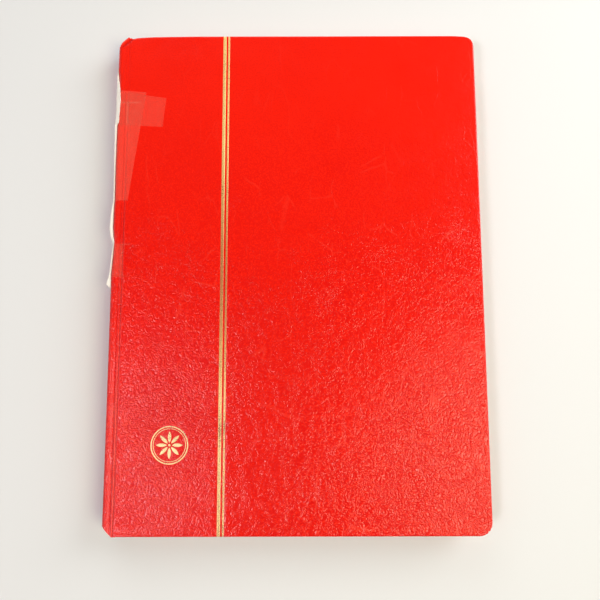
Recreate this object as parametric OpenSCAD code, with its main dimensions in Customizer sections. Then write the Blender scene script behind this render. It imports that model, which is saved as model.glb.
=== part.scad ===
/* [Covers] */
// Width of the closed album, spine face to fore-edge
cover_w = 224; // [180:1:300]
// Height of the album, tail to head
cover_l = 305; // [220:1:400]
// Thickness of the grey board in each cover
board_t = 2; // [1.6:0.1:3]
// Thickness of the leatherette
skin_t = 0.35; // [0.25:0.05:0.5]
// Thickness of the endpaper pasted inside each cover
paste_t = 0.15; // [0.1:0.05:0.25]
// Corner radius of the case in plan
corner_r = 7.5; // [4:0.5:12]
// How far the leatherette is turned in over the boards
turn_in = 15; // [10:1:25]
// How far the covers stand past the pages on three sides
square_w = 4; // [2:0.5:6]
// Margin of turned-in leatherette left bare round the endpaper
paste_margin = 4; // [2:0.5:8]

/* [Spine and joints] */
// Radius of the leatherette roll at each shoulder of the spine
shoulder_r = 2.5; // [2:0.1:2.8]
// Angle by which each roll tucks under its cover's joint strip
roll_tuck = 45; // [20:5:60]
// Running gap between a roll and the joint strip that turns round it
fold_gap = 0.1; // [0.05:0.05:0.2]
// Thickness of the spine stiffener
spine_board_t = 1.4; // [0.8:0.1:1.8]
// Thickness of the mull glued inside the stiffener
lining_t = 0.4; // [0.2:0.1:0.6]
// Distance from the spine face to the bottom of the joint groove
groove_at = 6.3; // [6:0.1:12]
// Half the width of the joint groove
groove_half_w = 1.1; // [0.8:0.1:1.3]
// Depth of the joint groove
groove_d = 0.6; // [0.3:0.1:0.9]

/* [Pages] */
// Thickness of a page card
card_t = 0.5; // [0.3:0.05:0.8]
// Thickness of a glassine pocket strip with its glue line
strip_t = 0.1; // [0.05:0.01:0.15]
// Thickness of a glassine interleaf
glassine_t = 0.06; // [0.04:0.01:0.1]
// Thickness of a flyleaf
fly_t = 0.15; // [0.1:0.01:0.2]
// Free space between one sheet and the next
sheet_gap = 0.225; // [0.2:0.025:0.4]
// Number of pocket strips on each side of a page
strip_rows = 9; // [5:1:12]
// Height of a pocket strip
strip_h = 27; // [10:0.5:30]
// Bare margin of the card past the ends of the strips
strip_margin = 5; // [3:1:12]
// Bare margin of the card under the lowest strip
strip_foot = 7; // [4:1:12]
// Corner radius of a page
page_r = 3; // [1:0.5:6]
// How much shorter and narrower an interleaf is than a page
interleaf_inset = 1; // [0:0.5:3]

/* [Linen hinges] */
// Distance from the spine face to the line the sheets turn on
hinge_at = 6; // [5.5:0.1:7]
// Thickness of the linen tongue
linen_t = 0.12; // [0.08:0.01:0.14]
// Radius of the folded bead that each sheet turns on
bead_r = 0.09; // [0.07:0.01:0.1]
// Free length of the tongue, bead to card
tongue_l = 3.2; // [3:0.1:5]
// How far the linen laps each face of the card
linen_lap = 7; // [4:0.5:10]
// Thickness of the linen between the card's edge and the tongue
linen_web = 0.2; // [0.1:0.05:0.4]
// Running gap between a bead and the sewn guards
bead_gap = 0.06; // [0.04:0.01:0.1]
// Gap between neighbouring sewn guards
guard_gap = 0.05; // [0.02:0.01:0.1]
// Number of sewing stations
stitches = 7; // [4:1:12]
// Radius of the sewing thread
thread_r = 0.2; // [0.1:0.05:0.3]
// Radius of a headband's core
headband_r = 0.8; // [0.5:0.1:1]

/* [Gold foil] */
// Distance from the spine face to the wide stripe
wide_at = 66; // [40:0.5:120]
// Width of the wide stripe
wide_w = 2.15; // [1:0.05:4]
// Gap between the two stripes
stripe_gap = 0.9; // [0.5:0.1:3]
// Width of the narrow stripe
narrow_w = 1.2; // [0.6:0.05:3]
// Thickness of the foil
foil_t = 0.05; // [0.03:0.01:0.08]
// Depth of the pressed bed that the foil lies in
foil_bed = 0.1; // [0.08:0.01:0.15]
// Distance from the spine face to the middle of the medallion
medallion_at = 37.4; // [25:0.1:60]
// Distance from the tail to the middle of the medallion
medallion_up = 51.5; // [20:0.5:200]
// Radius of the medallion
medallion_r = 11; // [6:0.5:15]
// Number of petals in the medallion's rosette
petals = 8; // [5:1:12]
// Width of the medallion's outer ring
ring_w = 0.7; // [0.4:0.1:1.2]

/* [Repair tape] */
// Thickness of the clear tape
tape_t = 0.06; // [0.04:0.01:0.1]
// Width of the tape from the spine's shoulder
tape_w = 16; // [8:1:30]
// Distance from the head to the upper piece of tape
tape_head = 36; // [10:1:80]
// Length of the upper piece
tape_upper_l = 22.5; // [10:0.5:40]
// Length of the middle piece
tape_middle_l = 48.5; // [20:0.5:60]
// Distance from the head to the lower piece
tape_lower_at = 134; // [120:1:180]
// Length of the lower piece
tape_lower_l = 20.5; // [10:0.5:40]

/* [Hidden] */
LEAVES = 8;
SHEETS = 2 * LEAVES + 1;

// Heights, measured up from the face that the album lies on
inner_z = 2 * skin_t + board_t + paste_t;
sheet_pitch = card_t / 2 + strip_t + fly_t / 2 + sheet_gap;
total_t = 2 * (inner_z + sheet_gap) + fly_t + (SHEETS - 1) * sheet_pitch;
function sheet_z(k) = inner_z + sheet_gap + fly_t / 2 + (k - 1) * sheet_pitch;
function leaf_sheet(n) = SHEETS + 1 - 2 * n;
function interleaf_sheet(n) = SHEETS - 2 * n;

// Places across the width
spine_x = -cover_w / 2;
fore_x = cover_w / 2;
axis_x = spine_x + shoulder_r;
groove_x = spine_x + groove_at;
board_x = groove_x + groove_half_w;
hinge_x = spine_x + hinge_at;
card_x = hinge_x + tongue_l + linen_web;
page_x = fore_x - square_w;
page_l = cover_l - 2 * square_w;
lap_t = strip_t;

// Where a strip of the given depth can start without touching the roll it turns round
function clear_of_roll(depth) = sqrt(pow(shoulder_r + fold_gap, 2) - pow(shoulder_r - depth, 2));

// A plate of even thickness whose four corners are rounded, between two x places
module plate(x0, x1, l, r, z0, h, facets = 64) {
    translate([0, 0, z0])
        linear_extrude(h)
            union() {
                translate([x0 + r, -l / 2])
                    square([x1 - x0 - 2 * r, l]);
                translate([x0, -l / 2 + r])
                    square([x1 - x0, l - 2 * r]);
                for (x = [x0 + r, x1 - r], y = [-l / 2 + r, l / 2 - r])
                    translate([x, y])
                        circle(r, $fn = facets);
            }
}

// A profile drawn in X and Z, carried along Y over the given length
module along_y(l) {
    translate([0, l / 2, 0])
        rotate([90, 0, 0])
            linear_extrude(l)
                children();
}

// Turns a piece of the back cover over to make the front cover's
module front() {
    translate([0, 0, total_t])
        mirror([0, 0, 1])
            children();
}

// The plan outline of the whole case, tall enough to trim any piece of it
module case_outline() {
    plate(spine_x, fore_x, cover_l, corner_r, -total_t, 3 * total_t);
}

// Depth of the joint groove at a place across the width: one turn of a cosine
function groove_depth(x) = groove_d * (1 + cos(180 * (x - groove_x) / groove_half_w)) / 2;

// Section of a layer that follows the joint, from the roll to the board's edge
module joint_section(start, depth0, depth1) {
    steps = 16;
    bend = [for (i = [0:steps]) groove_x - groove_half_w + 2 * groove_half_w * i / steps];
    xs = concat([start], bend);
    rise = [for (x = xs) x < groove_x - groove_half_w ? 0 : groove_depth(x)];
    last = len(xs) - 1;
    polygon(concat(
        [for (i = [0:last]) [xs[i], rise[i] + depth0]],
        [for (i = [last:-1:0]) [xs[i], rise[i] + depth1]]
    ));
}

module cover_board() {
    plate(board_x, fore_x - skin_t, cover_l - 2 * skin_t, corner_r - skin_t, skin_t, board_t);
}

// Leatherette: outer face, three wrapped edges, turn-ins and the strip that crosses the joint
module cover_skin() {
    over = 1;
    intersection() {
        case_outline();
        union() {
            difference() {
                translate([board_x, -cover_l / 2, 0])
                    cube([fore_x - board_x, cover_l, 2 * skin_t + board_t]);
                translate([board_x - over, 0, 0])
                    board_pocket(over);
                translate([board_x - over, -cover_l / 2 + turn_in, skin_t])
                    cube([fore_x - turn_in - board_x + over, cover_l - 2 * turn_in, 2 * inner_z]);
            }
            along_y(cover_l)
                joint_section(axis_x + clear_of_roll(skin_t), 0, skin_t);
        }
    }
}

// The space that the board fills, open towards the spine
module board_pocket(over) {
    r = corner_r - skin_t;
    translate([0, 0, skin_t])
        linear_extrude(board_t)
            union() {
                translate([0, -cover_l / 2 + skin_t])
                    square([fore_x - skin_t - r - board_x + over, cover_l - 2 * skin_t]);
                translate([0, -cover_l / 2 + skin_t + r])
                    square([fore_x - skin_t - board_x + over, cover_l - 2 * skin_t - 2 * r]);
                for (y = [-1, 1])
                    translate([fore_x - skin_t - r - board_x + over, y * (cover_l / 2 - skin_t - r)])
                        circle(r, $fn = 64);
            }
}

// Endpaper: levels the space between the turn-ins, laps them, and lines the joint
module cover_pastedown() {
    top = skin_t + board_t;
    l = cover_l - 2 * paste_margin;
    translate([board_x, -cover_l / 2 + turn_in, top])
        cube([fore_x - turn_in - board_x, cover_l - 2 * turn_in, skin_t]);
    translate([board_x, -l / 2, top + skin_t])
        cube([fore_x - paste_margin - board_x, l, paste_t]);
    translate([board_x - paste_t, -l / 2, skin_t + paste_t])
        cube([paste_t, l, board_t + skin_t]);
    along_y(l)
        joint_section(axis_x + clear_of_roll(skin_t + paste_t), skin_t, skin_t + paste_t);
}

// Section of one shoulder roll: a ring sector that the joint strip turns round
module roll_section() {
    reach = 2 * shoulder_r;
    intersection() {
        translate([axis_x, shoulder_r])
            difference() {
                circle(shoulder_r, $fn = 96);
                circle(shoulder_r - skin_t, $fn = 96);
            }
        translate([axis_x, shoulder_r])
            polygon([[0, 0], [-reach, 0], [-reach, -reach], [reach * tan(roll_tuck), -reach]]);
    }
}

module spine_skin() {
    color("#b3120e")
        intersection() {
            case_outline();
            along_y(cover_l)
                union() {
                    roll_section();
                    translate([0, total_t])
                        mirror([0, 1])
                            roll_section();
                    translate([spine_x, shoulder_r])
                        square([skin_t, total_t - 2 * shoulder_r]);
                }
        }
}

spine_piece_l = cover_l - 2 * corner_r;

module spine_board() {
    color("#8f8b83")
        translate([spine_x + skin_t, -spine_piece_l / 2, shoulder_r])
            cube([spine_board_t, spine_piece_l, total_t - 2 * shoulder_r]);
}

lining_x = spine_x + skin_t + spine_board_t;

module spine_lining() {
    color("#d9d3c2")
        translate([lining_x, -spine_piece_l / 2, shoulder_r])
            cube([lining_t, spine_piece_l, total_t - 2 * shoulder_r]);
}

guard_x = lining_x + lining_t;
guard_d = hinge_x - bead_r - bead_gap - guard_x;

// One folded linen guard behind each sheet, with the sewing holes through all of them
module sewn_guards() {
    color("#ece7da")
        difference() {
            for (k = [1:SHEETS])
                translate([guard_x, -page_l / 2, sheet_z(k) - sheet_pitch / 2 + guard_gap / 2])
                    cube([guard_d, page_l, sheet_pitch - guard_gap]);
            for (i = [1:stitches])
                translate([guard_x + guard_d / 2, stitch_y(i), 0])
                    cylinder(r = thread_r, h = total_t, $fn = 24);
        }
}

function stitch_y(i) = page_l * ((i - 0.5) / stitches - 0.5);

// Thread through the guards at each station
module sewing_threads() {
    color("#f5f2e8")
        for (i = [1:stitches])
            translate([guard_x + guard_d / 2, stitch_y(i), sheet_z(1) - sheet_pitch / 2])
                cylinder(r = thread_r, h = SHEETS * sheet_pitch, $fn = 24);
}

module headbands() {
    color("#c9a227")
        for (y = [-1, 1])
            translate([
                guard_x + guard_d / 2,
                y * (page_l / 2 + headband_r),
                sheet_z(1) - sheet_pitch / 2
            ])
                cylinder(r = headband_r, h = SHEETS * sheet_pitch, $fn = 48);
}

module back_board() {
    color("#8f8b83")
        cover_board();
}

module back_skin() {
    color("#c4140f")
        cover_skin();
}

module back_pastedown() {
    color("#f3efe4")
        cover_pastedown();
}

module front_board() {
    color("#8f8b83")
        front()
            cover_board();
}

narrow_at = wide_at + wide_w + stripe_gap;

// Plan of a stripe that runs from tail to head, and of the medallion
module stripe_plan(at, w) {
    translate([spine_x + at, -cover_l / 2])
        square([w, cover_l]);
}

module medallion_place() {
    translate([spine_x + medallion_at, -cover_l / 2 + medallion_up])
        children();
}

// Two rings round a rosette, each petal the overlap of two circles
module medallion_plan() {
    inner_r = medallion_r - 2 * ring_w;
    petal_l = inner_r - 2.5 * ring_w;
    bow_r = petal_l * 0.72;
    half_l = petal_l / 2 - ring_w;
    bow_off = sqrt(bow_r * bow_r - half_l * half_l);
    medallion_place() {
        difference() {
            circle(medallion_r, $fn = 96);
            circle(medallion_r - ring_w, $fn = 96);
        }
        difference() {
            circle(inner_r, $fn = 96);
            circle(inner_r - ring_w / 2, $fn = 96);
        }
        circle(ring_w, $fn = 32);
        for (i = [0:petals - 1])
            rotate(360 * i / petals)
                translate([0, ring_w * 2 + half_l])
                    intersection() {
                        translate([bow_off, 0])
                            circle(bow_r, $fn = 64);
                        translate([-bow_off, 0])
                            circle(bow_r, $fn = 64);
                    }
    }
}

module front_skin() {
    color("#c4140f")
        difference() {
            front()
                cover_skin();
            translate([0, 0, total_t - foil_bed])
                linear_extrude(total_t) {
                    stripe_plan(wide_at, wide_w);
                    stripe_plan(narrow_at, narrow_w);
                    medallion_place()
                        circle(medallion_r, $fn = 96);
                }
        }
}

module front_pastedown() {
    color("#f3efe4")
        front()
            cover_pastedown();
}

module foil(z = total_t - foil_bed) {
    color("#d8b45a")
        translate([0, 0, z])
            linear_extrude(foil_t)
                children();
}

module gold_stripe_wide() {
    foil()
        stripe_plan(wide_at, wide_w);
}

module gold_stripe_narrow() {
    foil()
        stripe_plan(narrow_at, narrow_w);
}

module gold_medallion() {
    foil()
        medallion_plan();
}

// A piece of clear tape that follows the joint strip and laps onto the cover
module tape(from_head, l, w_head, w_tail) {
    start = axis_x + clear_of_roll(skin_t);
    flat_w = tape_w + cover_w;
    color("#e8807a", 0.6)
        intersection() {
            front()
                along_y(cover_l)
                    union() {
                        joint_section(start, -tape_t, 0);
                        translate([board_x, -tape_t])
                            square([flat_w, tape_t]);
                    }
            translate([spine_x, cover_l / 2 - from_head, 0])
                linear_extrude(2 * total_t)
                    polygon([[0, 0], [w_head, 0], [w_tail, -l], [0, -l]]);
        }
}

module tape_upper() {
    tape(tape_head, tape_upper_l, tape_w, tape_w * 1.8);
}

module tape_middle() {
    tape(tape_head + tape_upper_l, tape_middle_l, tape_w * 0.95, tape_w * 0.55);
}

module tape_lower() {
    tape(tape_lower_at, tape_lower_l, tape_w, tape_w);
}

// A flat sheet that starts at its bead and turns with it
module sheet(k, t, inset) {
    x1 = page_x - inset;
    l = page_l - 2 * inset;
    plate(hinge_x, x1, l, page_r, sheet_z(k) - t / 2, t, 12);
    bead(k, l - 2 * page_r);
}

// The folded edge that a sheet turns on
module bead(k, l) {
    translate([hinge_x, l / 2, sheet_z(k)])
        rotate([90, 0, 0])
            cylinder(r = bead_r, h = l, $fn = 24);
}

module back_flyleaf() {
    color("#f3efe4")
        sheet(1, fly_t, 0);
}

module front_flyleaf() {
    color("#f3efe4")
        sheet(SHEETS, fly_t, 0);
}

module interleaf(n) {
    color("#e9ecea", 0.6)
        sheet(interleaf_sheet(n), glassine_t, interleaf_inset);
}

module leaf_card(n) {
    color("#fbfaf6")
        plate(card_x, page_x, page_l, page_r, sheet_z(leaf_sheet(n)) - card_t / 2, card_t, 12);
}

strip_x0 = card_x + linen_lap + strip_margin;
strip_x1 = page_x - strip_margin;
strip_pitch = (page_l - 2 * strip_foot) / strip_rows;

// Pocket strips on both faces of the card, each open along its upper edge
module leaf_strips(n) {
    z = sheet_z(leaf_sheet(n));
    color("#dfe6e4", 0.5)
        for (i = [0:strip_rows - 1], face = [-1, 1])
            translate([
                strip_x0,
                -page_l / 2 + strip_foot + i * strip_pitch,
                z + face * (card_t / 2 + strip_t / 2) - strip_t / 2
            ])
                cube([strip_x1 - strip_x0, min(strip_h, strip_pitch - 1), strip_t]);
}

// Linen: a fork that clasps the card, a thin tongue and the bead
module leaf_linen(n) {
    z = sheet_z(leaf_sheet(n));
    fork_x = card_x - linen_web;
    fork_l = page_l - 2 * page_r;
    color("#ece7da")
        union() {
            difference() {
                translate([fork_x, -fork_l / 2, z - card_t / 2 - lap_t])
                    cube([linen_web + linen_lap, fork_l, card_t + 2 * lap_t]);
                translate([card_x, -page_l / 2, z - card_t / 2])
                    cube([linen_lap + linen_web, page_l, card_t]);
            }
            translate([hinge_x, -fork_l / 2, z - linen_t / 2])
                cube([tongue_l, fork_l, linen_t]);
            bead(leaf_sheet(n), fork_l);
        }
}

back_board();
back_skin();
back_pastedown();
spine_skin();
spine_board();
spine_lining();
sewn_guards();
sewing_threads();
headbands();
front_board();
front_skin();
front_pastedown();
gold_stripe_wide();
gold_stripe_narrow();
gold_medallion();
tape_upper();
tape_middle();
tape_lower();
back_flyleaf();
front_flyleaf();
for (n = [1:LEAVES]) {
    leaf_card(n);
    leaf_strips(n);
    leaf_linen(n);
}
for (n = [1:LEAVES - 1]) {
    interleaf(n);
}
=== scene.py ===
"""Stamp album: a hardback case in red leatherette round eight stock cards, with glassine between them. The
case, its foil, the repair tape, the headbands and the thin sheets are surfaces worked out here; the rest are
the solids."""

import bmesh
import bpy
import numpy as np
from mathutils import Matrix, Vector


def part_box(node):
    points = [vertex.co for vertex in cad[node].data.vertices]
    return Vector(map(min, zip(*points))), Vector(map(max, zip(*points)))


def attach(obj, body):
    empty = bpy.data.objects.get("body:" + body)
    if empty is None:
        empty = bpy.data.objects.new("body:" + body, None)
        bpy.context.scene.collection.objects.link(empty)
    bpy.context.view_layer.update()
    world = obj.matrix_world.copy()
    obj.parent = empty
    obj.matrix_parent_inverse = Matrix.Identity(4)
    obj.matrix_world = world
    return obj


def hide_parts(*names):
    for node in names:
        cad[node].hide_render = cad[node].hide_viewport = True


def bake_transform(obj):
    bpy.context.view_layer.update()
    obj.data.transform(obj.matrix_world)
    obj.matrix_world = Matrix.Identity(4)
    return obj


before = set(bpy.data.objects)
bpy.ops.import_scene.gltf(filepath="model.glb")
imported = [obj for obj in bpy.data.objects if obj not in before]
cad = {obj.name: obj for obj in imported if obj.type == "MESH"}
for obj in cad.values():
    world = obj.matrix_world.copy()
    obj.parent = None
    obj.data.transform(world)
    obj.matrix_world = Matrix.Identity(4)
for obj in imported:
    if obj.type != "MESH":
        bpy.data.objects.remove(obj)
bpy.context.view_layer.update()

# Lengths are in millimetres until a mesh is made
MM = 0.001

# The case: its outer faces, its round shoulder, corners and edges, and the layers of a cover
SPINE_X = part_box("spine_skin")[0].x / MM
FORE_X, HALF_L, THICK = (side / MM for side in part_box("front_skin")[1])
SHOULDER_R, CORNER_R, EDGE_R = 2.5, 7.5, 0.9
SKIN_T, BOARD_T, BOARD_AT = 0.35, 2.0, 7.4
COVER_WRAP = BOARD_T + 2 * SKIN_T
TURN_IN, SPINE_TURN_IN = 15.0, 2.5

# The joint, from the spine face: a valley, a crest, the groove and a faint lip
VALLEY_AT, CREST_AT, GROOVE_AT, LIP_AT = 4.65, 5.55, 6.35, 7.6
GROOVE_HALF_W, GROOVE_D = 0.85, 0.28

# Distance along the case, from the middle of the spine face, of the shoulder's start and end
FACE_END = THICK / 2 - SHOULDER_R
ROLL_END = FACE_END + SHOULDER_R * np.pi / 2

# Foil on the front cover: the lines' sides from the spine face, and the ornament's middle from spine and tail
WIDE_LINE, NARROW_LINE = (65.6, 67.55), (68.65, 69.75)
LINE_BED, ORNAMENT_BED, FOIL_T = 0.07, 0.1, 0.03
ORNAMENT_AT, ORNAMENT_UP, ORNAMENT_R = 37.4, 51.5, 11.0


# ---------------------------------------------------------------- mesh tools

def smooth_step(x, a, b):
    """0 before a, 1 after b, and 3t^2 - 2t^3 between them."""
    t = np.clip((x - a) / (b - a), 0, 1)
    return t * t * (3 - 2 * t)


def hump(x, middle, half):
    """One turn of a raised cosine: 1 at the middle, 0 at half its width to either side."""
    return (1 + np.cos(np.pi * np.clip((x - middle) / half, -1, 1))) / 2


def waves(x, y, length, seed, terms=7):
    """Smooth noise from -1 to 1: a sum of plane sine waves near one wavelength, in seeded directions."""
    r = np.random.default_rng(seed)
    total = 0
    for _ in range(terms):
        angle, phase, pitch = r.uniform(0, 2 * np.pi), r.uniform(0, 2 * np.pi), r.uniform(0.6, 1.6)
        total = total + np.sin(2 * np.pi * (x * np.cos(angle) + y * np.sin(angle)) / (length * pitch) + phase)
    return total / terms ** 0.5 / 1.6


def smooth_basis(t, n):
    """Weights of n places for a smooth curve through all of them at times 0 to n - 1 (Catmull-Rom)."""
    table = np.zeros((n, len(t)))
    i = np.clip(t.astype(int), 0, n - 2)
    f = t - i
    weights = [(-f ** 3 + 2 * f ** 2 - f) / 2, (3 * f ** 3 - 5 * f ** 2 + 2) / 2,
               (-3 * f ** 3 + 4 * f ** 2 + f) / 2, (f ** 3 - f ** 2) / 2]
    for k, w in enumerate(weights):
        np.add.at(table, (np.clip(i + k - 1, 0, n - 1), np.arange(len(t))), w)
    return table


def to_segment(x, y, a, b):
    """Distance from each point to the straight line between two points."""
    dx, dy = b[0] - a[0], b[1] - a[1]
    t = np.clip(((x - a[0]) * dx + (y - a[1]) * dy) / (dx * dx + dy * dy), 0, 1)
    return np.hypot(x - a[0] - t * dx, y - a[1] - t * dy)


def places(*parts):
    """Points, or places laid flat, from their coordinates over a grid."""
    return np.stack(np.broadcast_arrays(*parts), -1)


def grid_faces(rows, columns, first=0, flip=False):
    """Quads of a grid numbered row by row from first."""
    i, j = np.meshgrid(np.arange(rows - 1), np.arange(columns - 1), indexing="ij")
    a, b = i * columns + j, (i + 1) * columns + j
    quads = np.stack([a, b, b + 1, a + 1], -1).reshape(-1, 4) + first
    return quads[:, ::-1] if flip else quads


def put_mesh(name, points, faces, uv=None, weld=True, **measures):
    """A smooth mesh object from points in millimetres, quads, a flat place in mm, and a value per point."""
    mesh = bpy.data.meshes.new(name)
    mesh.from_pydata((points * MM).tolist(), [], faces.tolist())
    if uv is not None:
        corners = np.zeros(len(mesh.loops), np.int32)
        mesh.loops.foreach_get("vertex_index", corners)
        layer = mesh.uv_layers.new(name="Laid_flat")
        layer.data.foreach_set("uv", (uv * MM)[corners].astype(np.float32).ravel())
    for measure, values in measures.items():
        held = mesh.attributes.new(measure, "FLOAT", "POINT")
        held.data.foreach_set("value", np.asarray(values, np.float32).ravel())
    if weld:
        made = bmesh.new()
        made.from_mesh(mesh)
        bmesh.ops.remove_doubles(made, verts=made.verts, dist=1e-6)
        made.to_mesh(mesh)
        made.free()
    mesh.polygons.foreach_set("use_smooth", [True] * len(mesh.polygons))
    mesh.validate()
    mesh.update()
    piece = bpy.data.objects.new(name, mesh)
    bpy.context.scene.collection.objects.link(piece)
    return piece


def put_grid(name, points, flat=None, flip=False, **measures):
    """A mesh object over one grid of points."""
    uv = None if flat is None else flat.reshape(-1, 2)
    return put_mesh(name, points.reshape(-1, 3), grid_faces(*points.shape[:2], flip=flip), uv, **measures)


def thicken(piece, amount, offset=-1.0):
    """Gives a sheet its thickness, in millimetres: on its inner side, or with offset 0 on both sides."""
    wall = piece.modifiers.new("Thickness", "SOLIDIFY")
    wall.thickness = amount * MM
    wall.offset = offset
    return piece


# ---------------------------------------------------------------- the case's outer face

# The fold across the head corner of the spine, with painted shade in it, and the rim of its cap, worn and
# with a painted highlight, from the spine face and the head
HEAD_FOLD = ((2.2, 7.2), (8.0, 2.4))
CAP_RIM = ((0.0, 7.0), (2.4, 3.6), (5.6, 1.1))

# A place x in and d under the cover shows SIGHT * d further in, and the bare shoulder's edge shows at
# BARE_EDGE, where the roll's tangent is the line of sight; SLANT is the length of a unit drop along that line
SIGHT, BARE_EDGE, SLANT = 0.353, 0.73, 1.06

# The torn edge: from the head, then its right and left sides from the spine face, as seen from above
TORN_EDGE = np.array([
    (21.0, -0.35, -0.50), (28.0, 0.60, -0.53), (36.1, 1.49, -0.54), (42.7, 1.84, -0.54),
    (49.3, 1.57, -0.49), (56.9, 1.28, -0.80), (58.4, 0.35, -0.92), (70.0, 0.28, -0.76),
    (84.9, 0.22, -0.59), (107.0, 0.46, -0.28), (110.0, 0.20, -0.75), (116.0, 0.10, -1.43),
    (124.1, 0.09, -1.86), (129.0, 0.57, -1.07), (132.8, 1.13, 0.04), (134.0, 1.00, 0.40),
    (143.3, 0.48, -0.31), (152.0, -0.17, -1.08), (155.7, -0.10, -1.85), (158.6, -0.04, -2.75),
    (160.0, -0.04, -1.60), (161.2, -0.05, -0.40)])
TORN_AT, TORN_RIGHT, TORN_LEFT = TORN_EDGE.T

# The spine's corners at head and tail: width, length and power of the superellipse that rounds them
HEAD_CORNER, TAIL_CORNER = (7.1, 7.0, 1.28), (5.3, 5.6, 1.06)

# How far the head edge is dented beside the spine's cap: from the spine face, and depth
DENT = ((5.7, 6.5, 8.7, 11.3, 14.5, 25.0, 45.0), (0.0, 1.25, 1.4, 0.95, 0.6, 0.2, 0.0))

# The head's corner at the fore-edge is knocked squarer than a quarter circle, and in by this much
KNOCK_POWER, KNOCK = 2.6, 0.45


def joint_relief(u, y):
    """Height of the joint over the cover's plane: a valley, a crest, the groove and a faint lip. Each is a
    raised cosine across, and all of them die away towards the head and at the tail."""
    ends = (1 - 0.65 * smooth_step(-y, 118, HALF_L)) * (1 - 0.6 * smooth_step(y, 60, 135))
    valley = 0.22 * hump(u, VALLEY_AT, 0.75) * (0.75 + 0.25 * waves(y, 0 * y, 60, 3))
    crest = 0.13 * hump(u, CREST_AT, 0.5) * (1 - smooth_step(y, -95, -15))
    groove = GROOVE_D * hump(u, GROOVE_AT, GROOVE_HALF_W)
    lip = 0.05 * hump(u, LIP_AT, 0.8)
    return (crest + lip - valley - groove) * ends


def front_relief(u, y):
    """Height of the front leatherette over its plane: the joint and the board's long waves, less the beds
    of the foil lines and the ornament, whose sides are smooth steps, and the fold of the cap's corner, a
    raised cosine."""
    cover = smooth_step(u, 9, 20)
    height = joint_relief(u, y)
    height = height + cover * 0.035 * waves(u, y, 70, 11) + cover * 0.012 * waves(u, y, 23, 12)
    for a, b in (WIDE_LINE, NARROW_LINE):
        height = height - (LINE_BED * smooth_step(u, a - 0.08, a + 0.06)
                           * (1 - smooth_step(u, b - 0.06, b + 0.08)))
    r = np.hypot(u - ORNAMENT_AT, y + HALF_L - ORNAMENT_UP)
    height = height - ORNAMENT_BED * (1 - smooth_step(r, ORNAMENT_R - 0.2, ORNAMENT_R + 2.2))
    return height - 0.10 * hump(to_segment(u, HALF_L - y, *HEAD_FOLD), 0, 1.1)


def back_relief(u, y):
    """Height of the back leatherette over its plane: the joint and the board's long waves."""
    cover = smooth_step(u, 9, 20)
    return joint_relief(u, y) + cover * 0.035 * waves(u, y, 75, 21) + cover * 0.01 * waves(u, y, 21, 22)


def shoulder_swell(s, y):
    """How far the covering stands off the solid spine: a low rise on the face and a ridge along the shoulder,
    gone before the joint and lower where the covering is torn."""
    ridge = smooth_step(s, FACE_END - 4.5, FACE_END - 0.3) * (
        1 - smooth_step(s, FACE_END + 1.0, ROLL_END + 0.3))
    kept = np.clip((BARE_EDGE - np.interp(HALF_L - y, TORN_AT, TORN_RIGHT)) / SLANT, 0.06, 0.82)
    return ((kept + 0.05 * waves(y, 0 * y, 80, 5)) * ridge
            + 0.22 * (1 - smooth_step(s, FACE_END - 3, FACE_END)))


def case_point(s, y, lift=0.0, relief=front_relief):
    """A point and outward normal of the front half of the case, s along it from the middle of the spine face:
    up the spine face, a quarter turn round the shoulder, then level across the joint and cover."""
    s, y = np.broadcast_arrays(np.asarray(s, float), np.asarray(y, float))
    turn = np.clip((s - FACE_END) / SHOULDER_R, 0, np.pi / 2)
    x = SPINE_X + SHOULDER_R * (1 - np.cos(turn)) + np.maximum(s - ROLL_END, 0)
    z = np.minimum(THICK / 2 + s, THICK - SHOULDER_R) + SHOULDER_R * np.sin(turn)
    normal = places(-np.cos(turn), 0, np.sin(turn))
    height = np.where(s > ROLL_END, relief(x - SPINE_X, y), 0) + shoulder_swell(s, y) + lift
    return places(x, y, z) + normal * height[..., None], normal


def along_case(u):
    """Distance along the case of a place u millimetres from the spine face, beyond the shoulder."""
    return ROLL_END + np.asarray(u, float) - SHOULDER_R


def from_spine(s):
    """The other way round: distance from the spine face of a place s along the case."""
    return s - ROLL_END + SHOULDER_R


def wrap_depth(s):
    """Thickness that the turned-in edge goes round: stiffener, bare joint, then the cover's board."""
    stiffener, joint = 2.1, 0.48
    spine = stiffener - (stiffener - joint) * smooth_step(s, FACE_END - 0.8, FACE_END + 0.6)
    return spine + (COVER_WRAP - joint) * smooth_step(from_spine(s), BOARD_AT - 0.4, BOARD_AT + 1.0)


def wrap_radius(s):
    """Radius of the fold at the edge, at most half of what it goes round."""
    return np.minimum(EDGE_R, wrap_depth(s) / 2)


def end_of_column(x, s, side):
    """Where a column of the case stops at the head (side 1) or the tail (side -1): a straight edge with a
    superellipse at either end. The spine's has power 1.3 at the head and is nearly a straight cut at the
    tail; the fore-edge's is a quarter circle at the tail. The head edge is dented beside the cap and
    knocked in at its end."""
    radius = wrap_radius(s)
    fore_r = CORNER_R - EDGE_R
    fore = np.clip((x - (FORE_X - CORNER_R)) / fore_r, 0, 1)
    u = x - SPINE_X
    wide, long, power = HEAD_CORNER if side > 0 else TAIL_CORNER
    near = 1 - np.clip(u / wide, 0, 1)
    spine = long * (1 - (1 - near ** power) ** (1 / power))
    if side > 0:
        spine = spine + np.interp(u, *DENT)
        knock = KNOCK * smooth_step(x, FORE_X - 15, FORE_X - 3)
        return HALF_L - radius - fore_r * (1 - (1 - fore ** KNOCK_POWER) ** (1 / KNOCK_POWER)) - knock - spine
    return side * (HALF_L - radius - fore_r * (1 - np.sqrt(1 - fore ** 2)) - spine)


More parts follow.
